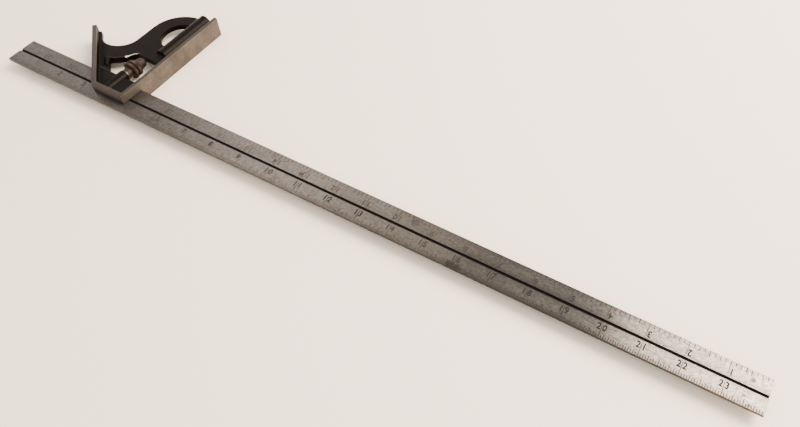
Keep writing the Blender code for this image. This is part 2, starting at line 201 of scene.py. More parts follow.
# Rolled tool steel, ground and handled for years: warm grey patina, dark stains, fine scratches,
# dirt in the groove, and painted shade on its narrow sides
def ruleSteel():
    material, tree, shader, place = startMaterial("agedRuleSteel")
    axes = addNode(tree, "ShaderNodeSeparateXYZ", {0: place})
    blotch = addNode(tree, "ShaderNodeTexNoise", {
        "Vector": addNode(tree, "ShaderNodeMapping", {"Vector": place, "Scale": (0.5, 1, 1)}).outputs[0],
        "Scale": 1 / (24 * mm), "Detail": 5, "Roughness": 0.6}).outputs["Fac"]
    mottle = addNode(tree, "ShaderNodeTexNoise", {
        "Vector": place, "Scale": 1 / (1.3 * mm), "Detail": 6, "Roughness": 0.75}).outputs["Fac"]
    grain = addNode(tree, "ShaderNodeTexNoise", {
        "Vector": addNode(tree, "ShaderNodeMapping", {"Vector": place, "Scale": (0.3, 1, 1)}).outputs[0],
        "Scale": 1 / (0.9 * mm), "Detail": 4, "Roughness": 0.6}).outputs["Fac"]
    worn = curveAlong(tree, place, rule["patina"])
    worn = addNode(tree, "ShaderNodeMix", {0: 1.0, 6: worn, 7: toLinear("ffebdc")}, data_type="RGBA",
                   blend_type="MULTIPLY").outputs[2]
    shade = addNode(tree, "ShaderNodeMath", {
        0: addNode(tree, "ShaderNodeMapRange", {
            "Value": mottle, "From Min": 0.32, "From Max": 0.68, "To Min": 1.3, "To Max": 0.62}).outputs[0],
        1: addNode(tree, "ShaderNodeMapRange", {
            "Value": blotch, "From Min": 0.42, "From Max": 0.7, "To Min": 1.1,
            "To Max": 0.74}).outputs[0]}, operation="MULTIPLY").outputs[0]
    shade = addNode(tree, "ShaderNodeMath", {
        0: shade,
        1: addNode(tree, "ShaderNodeMapRange", {
            "Value": grain, "From Min": 0.42, "From Max": 0.68, "To Min": 1.12,
            "To Max": 0.68}).outputs[0]}, operation="MULTIPLY").outputs[0]
    streaked = addNode(tree, "ShaderNodeVectorMath", {0: worn, "Scale": shade}, operation="SCALE").outputs[0]
    pits = addNode(tree, "ShaderNodeMapRange", {
        "Value": addNode(tree, "ShaderNodeTexNoise", {
            "Vector": place, "Scale": 1 / (1.6 * mm), "Detail": 2, "Roughness": 0.5}).outputs["Fac"],
        "From Min": 0.71, "From Max": 0.76}).outputs[0]
    marked = addNode(tree, "ShaderNodeMix", {
        0: pits, 6: streaked, 7: toLinear("2a2320")}, data_type="RGBA").outputs[2]
    for x, y, radius, depth in rule["blots"]:
        centre = (ruleLow.x + x * mm, ruleLow.y + y * mm, ruleHigh.z)
        ragged = addNode(tree, "ShaderNodeMath", {
            0: spot(tree, place, centre, radius),
            1: addNode(tree, "ShaderNodeMapRange", {
                "Value": mottle, "From Min": 0.3, "From Max": 0.7, "To Min": -0.35,
                "To Max": 0.35}).outputs[0]}, operation="ADD").outputs[0]
        marked = addNode(tree, "ShaderNodeMix", {
            0: addNode(tree, "ShaderNodeMapRange", {
                "Value": ragged, "From Min": 0.28, "From Max": 0.5, "To Min": 0.0,
                "To Max": depth}).outputs[0], 6: marked, 7: toLinear("241d1a")}, data_type="RGBA").outputs[2]
    x, y = rule["rustSpot"]
    rust = addNode(tree, "ShaderNodeMapRange", {
        "Value": spot(tree, place, (ruleLow.x + x * mm, ruleLow.y + y * mm, ruleHigh.z), 2.2),
        "From Min": 0.1, "From Max": 0.6, "To Min": 0.0, "To Max": 0.85}).outputs[0]
    marked = addNode(tree, "ShaderNodeMix", {
        0: rust, 6: marked, 7: toLinear("4a2e18")}, data_type="RGBA").outputs[2]
    middle = (ruleLow.y + ruleHigh.y) / 2
    aside = addNode(tree, "ShaderNodeMath", {
        0: addNode(tree, "ShaderNodeMath", {
            0: axes.outputs["Y"],
            1: middle}, operation="SUBTRACT").outputs[0]}, operation="ABSOLUTE").outputs[0]
    inGroove = addNode(tree, "ShaderNodeMath", {
        0: addNode(tree, "ShaderNodeMapRange", {
            "Value": aside, "From Min": 1.12 * mm, "From Max": 1.0 * mm}).outputs[0],
        1: addNode(tree, "ShaderNodeMapRange", {
            "Value": axes.outputs["Z"], "From Min": ruleHigh.z - 0.05 * mm,
            "From Max": ruleHigh.z - 0.2 * mm}).outputs[0]}, operation="MULTIPLY").outputs[0]
    grooveDirtAndSideShade = addNode(tree, "ShaderNodeMix", {
        0: inGroove, 6: marked, 7: toLinear("0e0b0a")}, data_type="RGBA").outputs[2]
    # painted shade: the rule's narrow sides are darkened as if in shadow
    shadedSide = addNode(tree, "ShaderNodeMapRange", {
        "Value": aside, "From Min": ruleHigh.y - middle - 0.16 * mm,
        "From Max": ruleHigh.y - middle - 0.04 * mm, "To Min": 0.0, "To Max": 0.8}).outputs[0]
    grooveDirtAndSideShade = addNode(tree, "ShaderNodeMix", {
        0: shadedSide, 6: grooveDirtAndSideShade, 7: toLinear("28211d")}, data_type="RGBA").outputs[2]
    tree.links.new(grooveDirtAndSideShade, shader.inputs["Base Color"])
    tree.links.new(
        addNode(tree, "ShaderNodeMapRange", {
            "Value": addNode(tree, "ShaderNodeMath", {0: inGroove, 1: rust}, operation="MAXIMUM").outputs[0],
            "From Min": 0.0, "From Max": 1.0, "To Min": 0.8, "To Max": 0.0}).outputs[0],
        shader.inputs["Metallic"])
    dull = addNode(tree, "ShaderNodeMath", {
        0: addNode(tree, "ShaderNodeMapRange", {
            "Value": mottle, "From Min": 0.3, "From Max": 0.75, "To Min": 0.4, "To Max": 0.54}).outputs[0],
        1: addNode(tree, "ShaderNodeMapRange", {
            "Value": grain, "From Min": 0.3, "From Max": 0.7, "To Min": -0.05,
            "To Max": 0.05}).outputs[0]}, operation="ADD").outputs[0]
    tree.links.new(
        addNode(tree, "ShaderNodeMath", {
            0: dull,
            1: addNode(tree, "ShaderNodeMapRange", {
                "Value": inGroove, "From Min": 0.0, "From Max": 1.0, "To Min": 0.0,
                "To Max": 0.4}).outputs[0]}, operation="ADD").outputs[0], shader.inputs["Roughness"])
    tree.links.new(
        addNode(tree, "ShaderNodeMapRange", {
            "Value": inGroove, "From Min": 0.0, "From Max": 1.0, "To Min": 0.5, "To Max": 0.05}).outputs[0],
        shader.inputs["Specular IOR Level"])
    scratch = addNode(tree, "ShaderNodeTexNoise", {
        "Vector": addNode(tree, "ShaderNodeMapping", {"Vector": place, "Scale": (0.04, 1, 1)}).outputs[0],
        "Scale": 1 / (0.5 * mm), "Detail": 2, "Roughness": 0.5}).outputs["Fac"]
    height = addNode(tree, "ShaderNodeMath", {
        0: scratch,
        1: addNode(tree, "ShaderNodeMath", {
            0: mottle, 1: 2.0}, operation="MULTIPLY").outputs[0]}, operation="ADD").outputs[0]
    tree.links.new(
        addNode(tree, "ShaderNodeBump", {
            "Height": height, "Distance": 0.05 * mm, "Strength": 0.35}).outputs[0], shader.inputs["Normal"])
    return material


# Old ink and dirt in the engraved marks: near black, worn back to the steel's own grey in stretches along the
# rule
def markInk():
    material, tree, shader, place = startMaterial("engravedMarkFill")
    axes = addNode(tree, "ShaderNodeSeparateXYZ", {0: place})
    patch = addNode(tree, "ShaderNodeTexNoise", {
        "Vector": place, "Scale": 1 / (12 * mm), "Detail": 4, "Roughness": 0.6}).outputs["Fac"]
    nearRow = curveAlong(tree, place, rule["nearWear"])
    farRow = curveAlong(tree, place, rule["farWear"])
    isFar = addNode(tree, "ShaderNodeMapRange", {
        "Value": axes.outputs["Y"], "From Min": ruleHigh.y - 12.8 * mm,
        "From Max": ruleHigh.y - 12.6 * mm}).outputs[0]
    wear = addNode(tree, "ShaderNodeMix", {0: isFar, 6: nearRow, 7: farRow}, data_type="RGBA").outputs[2]
    wear = addNode(tree, "ShaderNodeMath", {
        0: wear,
        1: addNode(tree, "ShaderNodeMapRange", {
            "Value": patch, "From Min": 0.3, "From Max": 0.7, "To Min": -0.2,
            "To Max": 0.2}).outputs[0]}, operation="ADD").outputs[0]
    wear = addNode(tree, "ShaderNodeMath", {
        0: addNode(tree, "ShaderNodeMath", {0: wear, 1: 0.0}, operation="MAXIMUM").outputs[0],
        1: 1.0}, operation="MINIMUM").outputs[0]
    steel = curveAlong(tree, place, rule["patina"])
    steel = addNode(tree, "ShaderNodeMix", {0: 1.0, 6: steel, 7: toLinear("e8ccb8")}, data_type="RGBA",
                    blend_type="MULTIPLY").outputs[2]
    dark = addNode(tree, "ShaderNodeMix", {
        0: wear, 6: toLinear("0d0a08"), 7: steel}, data_type="RGBA").outputs[2]
    tree.links.new(dark, shader.inputs["Base Color"])
    tree.links.new(
        addNode(tree, "ShaderNodeMapRange", {
            "Value": wear, "From Min": 0.0, "From Max": 1.0, "To Min": 0.0, "To Max": 0.7}).outputs[0],
        shader.inputs["Metallic"])
    tree.links.new(
        addNode(tree, "ShaderNodeMapRange", {
            "Value": patch, "From Min": 0.3, "From Max": 0.7, "To Min": 0.62, "To Max": 0.8}).outputs[0],
        shader.inputs["Roughness"])
    tree.links.new(
        addNode(tree, "ShaderNodeMapRange", {
            "Value": wear, "From Min": 0.0, "From Max": 1.0, "To Min": 0.1, "To Max": 0.5}).outputs[0],
        shader.inputs["Specular IOR Level"])
    return material


# Ground cast iron gone warm brown-grey: grinding marks, rust blooms, with painted shade on its narrow edges and
# base
def groundSteel():
    material, tree, shader, place = startMaterial("groundIronFace")
    axes = addNode(tree, "ShaderNodeSeparateXYZ", {0: place})
    blotch = addNode(tree, "ShaderNodeTexNoise", {
        "Vector": place, "Scale": 1 / (13 * mm), "Detail": 5, "Roughness": 0.6}).outputs["Fac"]
    mottle = addNode(tree, "ShaderNodeTexNoise", {
        "Vector": place, "Scale": 1 / (1.4 * mm), "Detail": 6, "Roughness": 0.7}).outputs["Fac"]
    grind = addNode(tree, "ShaderNodeTexNoise", {
        "Vector": addNode(tree, "ShaderNodeMapping", {"Vector": place, "Scale": (1, 0.5, 0.08)}).outputs[0],
        "Scale": 1 / (0.6 * mm), "Detail": 2, "Roughness": 0.5}).outputs["Fac"]
    colour = addNode(tree, "ShaderNodeMix", {
        0: addNode(tree, "ShaderNodeMapRange", {
            "Value": blotch, "From Min": 0.35, "From Max": 0.65}).outputs[0], 6: toLinear("5d544b"),
        7: toLinear("433b34")}, data_type="RGBA").outputs[2]
    colour = addNode(tree, "ShaderNodeMix", {
        0: addNode(tree, "ShaderNodeMapRange", {
            "Value": mottle, "From Min": 0.48, "From Max": 0.72, "To Min": 0.0, "To Max": 0.6}).outputs[0],
        6: colour, 7: toLinear("40352e")}, data_type="RGBA").outputs[2]
    colour = addNode(tree, "ShaderNodeMix", {
        0: addNode(tree, "ShaderNodeMapRange", {
            "Value": grind, "From Min": 0.5, "From Max": 0.7, "To Min": 0.0, "To Max": 0.12}).outputs[0],
        6: colour, 7: toLinear("82766a")}, data_type="RGBA").outputs[2]
    bloom = addNode(tree, "ShaderNodeMath", {
        0: spot(tree, place, (faceX, headHigh.y - 13 * mm, midZ + 2 * mm), 6.5),
        1: spot(tree, place, (faceX, headHigh.y - 4 * mm, midZ - 3 * mm), 5)}, operation="MAXIMUM").outputs[0]
    bloom = addNode(tree, "ShaderNodeMath", {
        0: bloom,
        1: addNode(tree, "ShaderNodeMapRange", {
            "Value": mottle, "From Min": 0.3, "From Max": 0.6, "To Min": 0.1,
            "To Max": 0.75}).outputs[0]}, operation="MULTIPLY").outputs[0]
    colour = addNode(tree, "ShaderNodeMix", {
        0: bloom, 6: colour, 7: toLinear("3d2410")}, data_type="RGBA").outputs[2]
    height = addNode(tree, "ShaderNodeMath", {
        0: addNode(tree, "ShaderNodeMath", {
            0: axes.outputs["Z"],
            1: midZ}, operation="SUBTRACT").outputs[0]}, operation="ABSOLUTE").outputs[0]
    # painted shade: the narrow top and bottom edge faces are darkened as if turned from the light
    shadedEdge = addNode(tree, "ShaderNodeMapRange", {
        "Value": height, "From Min": headHigh.z - midZ - 0.3 * mm, "From Max": headHigh.z - midZ - 0.05 * mm,
        "To Min": 0.0, "To Max": 0.8}).outputs[0]
    colour = addNode(tree, "ShaderNodeMix", {
        0: shadedEdge, 6: colour, 7: toLinear("261c16")}, data_type="RGBA").outputs[2]
    # painted shade: the base face, where the rule comes out, is darkened as if in shadow
    shadedBase = addNode(tree, "ShaderNodeMapRange", {
        "Value": axes.outputs["Y"], "From Min": baseY + 0.35 * mm, "From Max": baseY + 0.1 * mm,
        "To Min": 0.0, "To Max": 0.9}).outputs[0]
    colour = addNode(tree, "ShaderNodeMix", {
        0: shadedBase, 6: colour, 7: toLinear("2a201a")}, data_type="RGBA").outputs[2]
    tree.links.new(colour, shader.inputs["Base Color"])
    tree.links.new(
        addNode(tree, "ShaderNodeMapRange", {
            "Value": bloom, "From Min": 0.0, "From Max": 0.6, "To Min": 0.6, "To Max": 0.0}).outputs[0],
        shader.inputs["Metallic"])
    tree.links.new(
        addNode(tree, "ShaderNodeMapRange", {
            "Value": mottle, "From Min": 0.3, "From Max": 0.7, "To Min": 0.42, "To Max": 0.6}).outputs[0],
        shader.inputs["Roughness"])
    tree.links.new(
        addNode(tree, "ShaderNodeBump", {
            "Height": addNode(tree, "ShaderNodeMath", {0: grind, 1: mottle}, operation="ADD").outputs[0],
            "Distance": 0.04 * mm, "Strength": 0.25}).outputs[0], shader.inputs["Normal"])
    return material


# Black japan baked on sand-cast iron: satin black over a soft cast grain, chipped to bare metal on worn rims,
# the chip coloured near white as a painted highlight
def japannedIron(chipGlints):
    material, tree, shader, place = startMaterial("blackJapan")
    cast = addNode(tree, "ShaderNodeTexNoise", {
        "Vector": place, "Scale": 1 / (1.1 * mm), "Detail": 4, "Roughness": 0.6}).outputs["Fac"]
    wide = addNode(tree, "ShaderNodeTexNoise", {
        "Vector": place, "Scale": 1 / (9 * mm), "Detail": 3, "Roughness": 0.5}).outputs["Fac"]
    black = addNode(tree, "ShaderNodeMix", {
        0: addNode(tree, "ShaderNodeMapRange", {"Value": wide, "From Min": 0.35, "From Max": 0.7}).outputs[0],
        6: toLinear("070403"), 7: toLinear("0c0705")}, data_type="RGBA").outputs[2]
    worn = addNode(tree, "ShaderNodeMapRange", {
        "Value": addNode(tree, "ShaderNodeTexNoise", {
            "Vector": place, "Scale": 1 / (0.9 * mm), "Detail": 3, "Roughness": 0.6}).outputs["Fac"],
        "From Min": 0.64, "From Max": 0.72, "To Min": 0.0, "To Max": 0.6}).outputs[0]
    colour = addNode(tree, "ShaderNodeMix", {
        0: worn, 6: black, 7: toLinear("1c1410")}, data_type="RGBA").outputs[2]
    rim = None
    for centre, radiusMm in chipGlints:
        near = spot(tree, place, centre, radiusMm)
        rim = near if rim is None else addNode(tree, "ShaderNodeMath", {
            0: rim, 1: near}, operation="MAXIMUM").outputs[0]
    ragged = addNode(tree, "ShaderNodeMath", {
        0: rim,
        1: addNode(tree, "ShaderNodeMapRange", {
            "Value": addNode(tree, "ShaderNodeTexNoise", {
                "Vector": place, "Scale": 1 / (1.3 * mm), "Detail": 4, "Roughness": 0.7}).outputs["Fac"],
            "From Min": 0.3, "From Max": 0.7, "To Min": -0.25,
            "To Max": 0.25}).outputs[0]}, operation="ADD").outputs[0]
    # bare metal where the paint is chipped, its near-white colour partly a painted highlight
    bareAndGlint = addNode(tree, "ShaderNodeMapRange", {
        "Value": ragged, "From Min": 0.42, "From Max": 0.5}).outputs[0]
    tree.links.new(
        addNode(tree, "ShaderNodeMix", {
            0: bareAndGlint, 6: colour, 7: toLinear("e6dfc6")}, data_type="RGBA").outputs[2],
        shader.inputs["Base Color"])
    tree.links.new(
        addNode(tree, "ShaderNodeMapRange", {
            "Value": bareAndGlint, "From Min": 0.0, "From Max": 1.0, "To Min": 0.0, "To Max": 0.75}).outputs[0],
        shader.inputs["Metallic"])
    tree.links.new(
        addNode(tree, "ShaderNodeMapRange", {
            "Value": cast, "From Min": 0.3, "From Max": 0.7, "To Min": 0.3, "To Max": 0.46}).outputs[0],
        shader.inputs["Roughness"])
    shader.inputs["Specular IOR Level"].default_value = 0.065
    shader.inputs["Specular Tint"].default_value = toLinear("f3e3d8")
    tree.links.new(
        addNode(tree, "ShaderNodeBump", {
            "Height": addNode(tree, "ShaderNodeMath", {0: cast, 1: bareAndGlint}, operation="SUBTRACT").outputs[0],
            "Distance": 0.12 * mm, "Strength": 0.5}).outputs[0], shader.inputs["Normal"])
    return material


# Steel nut left to rust and then handled: even red-brown skin, with fine lighter flecks
def brownedSteel():
    material, tree, shader, place = startMaterial("brownedKnurledSteel")
    skin = addNode(tree, "ShaderNodeTexNoise", {
        "Vector": place, "Scale": 1 / (1.8 * mm), "Detail": 5, "Roughness": 0.65}).outputs["Fac"]
    fine = addNode(tree, "ShaderNodeTexNoise", {
        "Vector": place, "Scale": 1 / (0.4 * mm), "Detail": 3, "Roughness": 0.6}).outputs["Fac"]
    colour = addNode(tree, "ShaderNodeMix", {
        0: addNode(tree, "ShaderNodeMapRange", {
            "Value": skin, "From Min": 0.35, "From Max": 0.68}).outputs[0], 6: toLinear("2e1a11"),
        7: toLinear("150a06")}, data_type="RGBA").outputs[2]
    colour = addNode(tree, "ShaderNodeMix", {
        0: addNode(tree, "ShaderNodeMapRange", {
            "Value": fine, "From Min": 0.58, "From Max": 0.72, "To Min": 0.0, "To Max": 0.5}).outputs[0],
        6: colour, 7: toLinear("38241a")}, data_type="RGBA").outputs[2]
    tree.links.new(colour, shader.inputs["Base Color"])
    shader.inputs["Specular IOR Level"].default_value = 0.2
    tree.links.new(
        addNode(tree, "ShaderNodeMapRange", {
            "Value": skin, "From Min": 0.3, "From Max": 0.7, "To Min": 0.46, "To Max": 0.66}).outputs[0],
        shader.inputs["Roughness"])
    tree.links.new(
        addNode(tree, "ShaderNodeBump", {
            "Height": addNode(tree, "ShaderNodeMath", {0: skin, 1: fine}, operation="ADD").outputs[0],
            "Distance": 0.06 * mm, "Strength": 0.5}).outputs[0], shader.inputs["Normal"])
    return material


# Lathe-turned metal: rings of tool marks along the axis and a little tarnish
def turnedMetal(name, light, dark, roughness):
    material, tree, shader, place = startMaterial(name)
    rings = addNode(tree, "ShaderNodeTexNoise", {
        "Vector": addNode(tree, "ShaderNodeMapping", {"Vector": place, "Scale": (0.05, 1, 0.05)}).outputs[0],
        "Scale": 1 / (0.5 * mm), "Detail": 2, "Roughness": 0.5}).outputs["Fac"]
    tarnish = addNode(tree, "ShaderNodeTexNoise", {
        "Vector": place, "Scale": 1 / (2.5 * mm), "Detail": 4, "Roughness": 0.6}).outputs["Fac"]
    colour = addNode(tree, "ShaderNodeMix", {
        0: addNode(tree, "ShaderNodeMapRange", {
            "Value": tarnish, "From Min": 0.35, "From Max": 0.7}).outputs[0], 6: toLinear(light),
        7: toLinear(dark)}, data_type="RGBA").outputs[2]
    tree.links.new(colour, shader.inputs["Base Color"])
    shader.inputs["Metallic"].default_value = 0.95
    tree.links.new(
        addNode(tree, "ShaderNodeMapRange", {
            "Value": tarnish, "From Min": 0.3, "From Max": 0.7, "To Min": roughness,
            "To Max": roughness + 0.15}).outputs[0], shader.inputs["Roughness"])
    tree.links.new(
        addNode(tree, "ShaderNodeBump", {"Height": rings, "Distance": 0.03 * mm, "Strength": 0.3}).outputs[0],
        shader.inputs["Normal"])
    return material


# Clear blown glass or spirit: light goes through, with a faint tint and a sharp gloss
def clearMaterial(name, colour, ior, roughness):
    material, tree, shader, place = startMaterial(name)
    tint = addNode(tree, "ShaderNodeMix", {
        0: addNode(tree, "ShaderNodeMapRange", {
            "Value": addNode(tree, "ShaderNodeTexNoise", {
                "Vector": place, "Scale": 1 / (6 * mm), "Detail": 2, "Roughness": 0.5}).outputs["Fac"],
            "From Min": 0.3, "From Max": 0.7, "To Min": 0.0, "To Max": 0.3}).outputs[0], 6: toLinear(colour),
        7: toLinear("ffffff")}, data_type="RGBA").outputs[2]
    tree.links.new(tint, shader.inputs["Base Color"])
    shader.inputs["Transmission Weight"].default_value = 1.0
    shader.inputs["IOR"].default_value = ior
    shader.inputs["Roughness"].default_value = roughness
    return material


# Set plaster of Paris: chalky, off-white, fine pores
def plasterWhite():
    material, tree, shader, place = startMaterial("setPlaster")
    pores = addNode(tree, "ShaderNodeTexNoise", {
        "Vector": place, "Scale": 1 / (0.5 * mm), "Detail": 4, "Roughness": 0.7}).outputs["Fac"]
    colour = addNode(tree, "ShaderNodeMix", {
        0: addNode(tree, "ShaderNodeMapRange", {"Value": pores, "From Min": 0.4, "From Max": 0.7}).outputs[0],
        6: toLinear("e2dccd"), 7: toLinear("bfb5a2")}, data_type="RGBA").outputs[2]
    tree.links.new(colour, shader.inputs["Base Color"])
    shader.inputs["Roughness"].default_value = 0.9
    tree.links.new(
        addNode(tree, "ShaderNodeBump", {"Height": pores, "Distance": 0.1 * mm, "Strength": 0.4}).outputs[0],
        shader.inputs["Normal"])
    return material


# rule

rule = {"groove": 2.0 * mm, "grooveDepth": 0.9 * mm, "edge": 0.18 * mm, "markWidth": 0.42 * mm,
        "inches": 24, "fineMark": 0.6,  # marks finer than 16ths are cut this much narrower
        "markLengths": ((1, 9.6 * mm), (2, 4.6 * mm), (4, 3.7 * mm), (8, 3.0 * mm), (16, 2.3 * mm),
                        (32, 1.8 * mm)), "shortestMark": 1.4 * mm,
        "inkProud": 0.012 * mm, "inkSunk": 0.08 * mm,
        "digitMiddle": 7.6 * mm, "digitHeight": 4.7 * mm, "digitGap": 1.85 * mm, "digitBold": 0.22 * mm,
        "digitDepth": 0.05 * mm, "digitNarrow": 0.8, "capitalShare": 0.72,  # a capital's share of the font size
        "rustSpot": (598.7, 18.9),
        # along the rule, from 0 to 1: how worn the ink is, and the steel's grey, both 0 to 255
        "nearWear": [(0.0, 200), (0.25, 170), (0.37, 80), (0.54, 90), (0.62, 150), (0.80, 150), (0.84, 60),
                     (1.0, 0)],
        "farWear": [(0.0, 225), (0.30, 215), (0.45, 130), (0.58, 140), (0.64, 210), (0.82, 200), (0.86, 110),
                    (1.0, 80)],
        "patina": [(0.0, 80), (0.25, 78), (0.38, 112), (0.50, 106), (0.60, 82), (0.69, 50), (0.79, 32),
                   (0.83, 42), (0.88, 98), (1.0, 152)],
        # dark stains: along, across and radius in mm, then depth of colour
        "blots": [(404.5, 1.8, 5.0, 1.0), (409.0, 1.5, 4.5, 1.0), (275.7, 17.0, 3.0, 0.6),
                  (596.0, 6.7, 2.2, 0.7), (593.9, 22.5, 2.0, 0.6), (600.1, 1.5, 2.4, 0.5),
                  (262.0, 4.8, 4.0, 0.25), (367.6, 20.5, 4.5, 0.4), (147.0, 5.0, 5.0, 0.3)]}


def makeRule(material):
    middle = (ruleLow.y + ruleHigh.y) / 2
    half = rule["groove"] / 2
    floor = ruleHigh.z - rule["grooveDepth"]
    section = [(ruleLow.y, ruleLow.z), (ruleHigh.y, ruleLow.z), (ruleHigh.y, ruleHigh.z),
               (middle + half, ruleHigh.z), (middle + half, floor), (middle - half, floor),
               (middle - half, ruleHigh.z), (ruleLow.y, ruleHigh.z)]
    bm = bmesh.new()
    face = bm.faces.new([bm.verts.new((ruleLow.x, y, z)) for y, z in section])
    raised = bmesh.ops.extrude_face_region(bm, geom=[face])["geom"]
    moved = [v for v in raised if isinstance(v, bmesh.types.BMVert)]
    bmesh.ops.translate(bm, vec=(ruleHigh.x - ruleLow.x, 0, 0), verts=moved)
    bmesh.ops.recalc_face_normals(bm, faces=bm.faces)
    softenEdges(bm, rule["edge"], 2)
    return makePiece("ruleBlade", bm, material, "rule", "rule_steel", "rule_blade")


# the coarser the fraction, the longer its mark
def markLength(step, perInch):
    fraction = step / perInch
    for part, length in rule["markLengths"]:
        if (fraction * part) % 1 == 0:
            return length
    return rule["shortestMark"]


# one inch of marks, repeated along the rule; each mark is a sunk bar of ink
def makeMarks(name, perInch, farEdge, under, material):
    bm = bmesh.new()
    width = rule["markWidth"] * (1.0 if perInch <= 16 else rule["fineMark"])
    top = ruleLow.z - rule["inkProud"] if under else ruleHigh.z + rule["inkProud"]
    bottom = ruleLow.z + rule["inkSunk"] if under else ruleHigh.z - rule["inkSunk"]
    for step in range(1, perInch + 1):
        x = ruleLow.x + inch * step / perInch
        length = markLength(step, perInch)
        start = rule["edge"]
        if farEdge:
            low, high = ruleHigh.y - length, ruleHigh.y - start
        else:
            low, high = ruleLow.y + start, ruleLow.y + length
        addBox(bm, (x - width / 2, low, min(top, bottom)), (x + width / 2, high, max(top, bottom)))
    oneInch = loose(name, bm)
    repeat = oneInch.modifiers.new("inches", "ARRAY")
    repeat.use_relative_offset = False
    repeat.use_constant_offset = True
    repeat.constant_offset_displace = (inch, 0, 0)
    repeat.count = rule["inches"]
    mesh = meshOf(oneInch)
    bpy.data.objects.remove(oneInch, do_unlink=True)
    bm = bmesh.new()
    bm.from_mesh(mesh)
    beyond = [v for v in bm.verts if v.co.x > ruleHigh.x - rule["edge"]]
    bmesh.ops.delete(bm, geom=beyond, context="VERTS")
    return makePiece(name, bm, material, "rule", "rule_steel")


def digitMesh(text):
    curve = bpy.data.curves.new("digit", "FONT")
    curve.body = text
    curve.align_x = "CENTER"
    curve.align_y = "CENTER"
    curve.size = rule["digitHeight"] / rule["capitalShare"]
    curve.extrude = rule["digitDepth"]
    curve.offset = rule["digitBold"]
    curve.resolution_u = 3
    thing = bpy.data.objects.new("digit", curve)
    bpy.context.scene.collection.objects.link(thing)
    mesh = meshOf(thing)
    bpy.data.objects.remove(thing, do_unlink=True)
    return mesh


# numbers 1 to 23; a two-figure number stands astride its inch mark, a single figure before it
def makeDigits(name, farEdge, under, material):
    bm = bmesh.new()
    shapes = {figure: digitMesh(figure) for figure in "0123456789"}
    rise = rule["inkProud"] - rule["digitDepth"]
    for number in range(1, rule["inches"]):
        figures = str(number)
        fromLow = rule["inches"] - number if farEdge else number
        lineX = ruleLow.x + fromLow * inch
        y = ruleHigh.y - rule["digitMiddle"] if farEdge else ruleLow.y + rule["digitMiddle"]
        z = ruleLow.z - rise if under else ruleHigh.z + rise
        for place, figure in enumerate(figures):
            shift = (place * 2 - 1) * rule["digitGap"]
            turned = Matrix.Rotation(math.pi, 4, "Z") if farEdge else Matrix.Identity(4)
            flipped = Matrix.Rotation(math.pi, 4, "X") if under else Matrix.Identity(4)
            narrow = Matrix.Diagonal((rule["digitNarrow"], 1.0, 1.0, 1.0))
            aside = Matrix.Translation((shift, 0, 0))
            put = Matrix.Translation((lineX, y, z)) @ flipped @ turned @ aside @ narrow
            part = shapes[figure].copy()
            part.transform(put)
            bm.from_mesh(part)
    bmesh.ops.remove_doubles(bm, verts=bm.verts, dist=0.0005 * mm)
    return makePiece(name, bm, material, "rule", "rule_steel")


# square head

head = {"faceLength": headHigh.y - baseY, "baseLength": 30.1 * mm, "mitreRun": 52.2 * mm, "faceWall": 3.2 * mm,
        "baseWall": 4.3 * mm, "mitreWall": 3.7 * mm, "skin": 0.15 * mm, "edge": 0.35 * mm,
        "paintStep": 0.45 * mm,
        "slotTop": ruleHigh.y + 0.3 * mm, "slotHalf": (ruleHigh.z - ruleLow.z) / 2 + 0.3 * mm,
        "paintInset": 1.1 * mm, "mitreTurn": 0.414,  # tangent of half the turn from base to 45 degree face
        "grain": 0.48 * mm, "relax": 3, "boltBore": 3.62 * mm, "boltRoom": 0.65 * mm,
        # the lip round the nut window, in mm from the corner of face and base
        "lipInner": ((-40.2, 26.3), (-47.4, 33.4)), "lipOuter": ((-44.1, 26.0), (-51.4, 33.3)),
        "lipCentre": (-61.8, 63.0), "lipRadii": (34.3, 32.9), "lipFoot": 1.0 * mm, "lipTop": 3.1 * mm,
        # the chipped rim of the window, which also carries a painted highlight
        "chipGlintStart": (-36.2, 41.0), "chipGlintEnd": (-31.6, 49.6), "chipGlintRise": 3.0 * mm, "chipGlintRadius": 1.5,
        "chipGlints": (0.0, 0.14, 0.3, 0.45, 0.6, 0.75, 0.88, 1.0)}


# the bent wall of 90 degree face, base and 45 degree face; outset moves the outer side in, trim thins it
def rimOutline(outset, trim):
    slant = (head["mitreWall"] - trim) * math.sqrt(2)
    end = (head["mitreWall"] - trim) / math.sqrt(2)
    wall = head["baseWall"] - trim
    mitreEnd = -head["baseLength"] - head["mitreRun"]
    points = [(-outset, outset), (-outset, head["faceLength"]), (-head["faceWall"] + trim, head["faceLength"]),
              (-head["faceWall"] + trim, wall), (-head["baseLength"] + slant - wall, wall),
              (mitreEnd + end, head["mitreRun"] + end), (mitreEnd, head["mitreRun"]),
              (-head["baseLength"], outset)]
    return [(faceX + x, baseY + y) for x, y in points][::-1]


def makeRim(material):
    bm = extrudeOutline(rimOutline(0.0, head["skin"]), headLow.z, headHigh.z)
    softenEdges(bm, head["edge"], 3)
    rim = loose("headRim", bm)
    reach = 80 * mm
    slot = boxTool("slot", (faceX - reach, baseY - 5 * mm, midZ - head["slotHalf"]),
                   (faceX + 5 * mm, head["slotTop"], midZ + head["slotHalf"]))
    cutWith(rim, [slot])
    bm = bmesh.new()
    bm.from_mesh(rim.data)
    bpy.data.objects.remove(rim, do_unlink=True)
    return makePiece("headRim", bm, material, "head", "head_iron", "square_head")


# a raised lip along the nut window: up its mitre side, then round under the hollow
def lipStrip():
    centreX, centreY = head["lipCentre"]
    inner, outer = list(head["lipInner"]), list(head["lipOuter"])
    for step in range(9):
        turned = math.radians(-58 + step * 3.8)
        for side, radius in zip((inner, outer), head["lipRadii"]):
            side.append((centreX + radius * math.cos(turned), centreY + radius * math.sin(turned)))
    ring = [(faceX + x * mm, baseY + y * mm) for x, y in inner + outer[::-1]]
    return extrudeOutline(ring, midZ + head["lipFoot"], midZ + head["lipTop"])


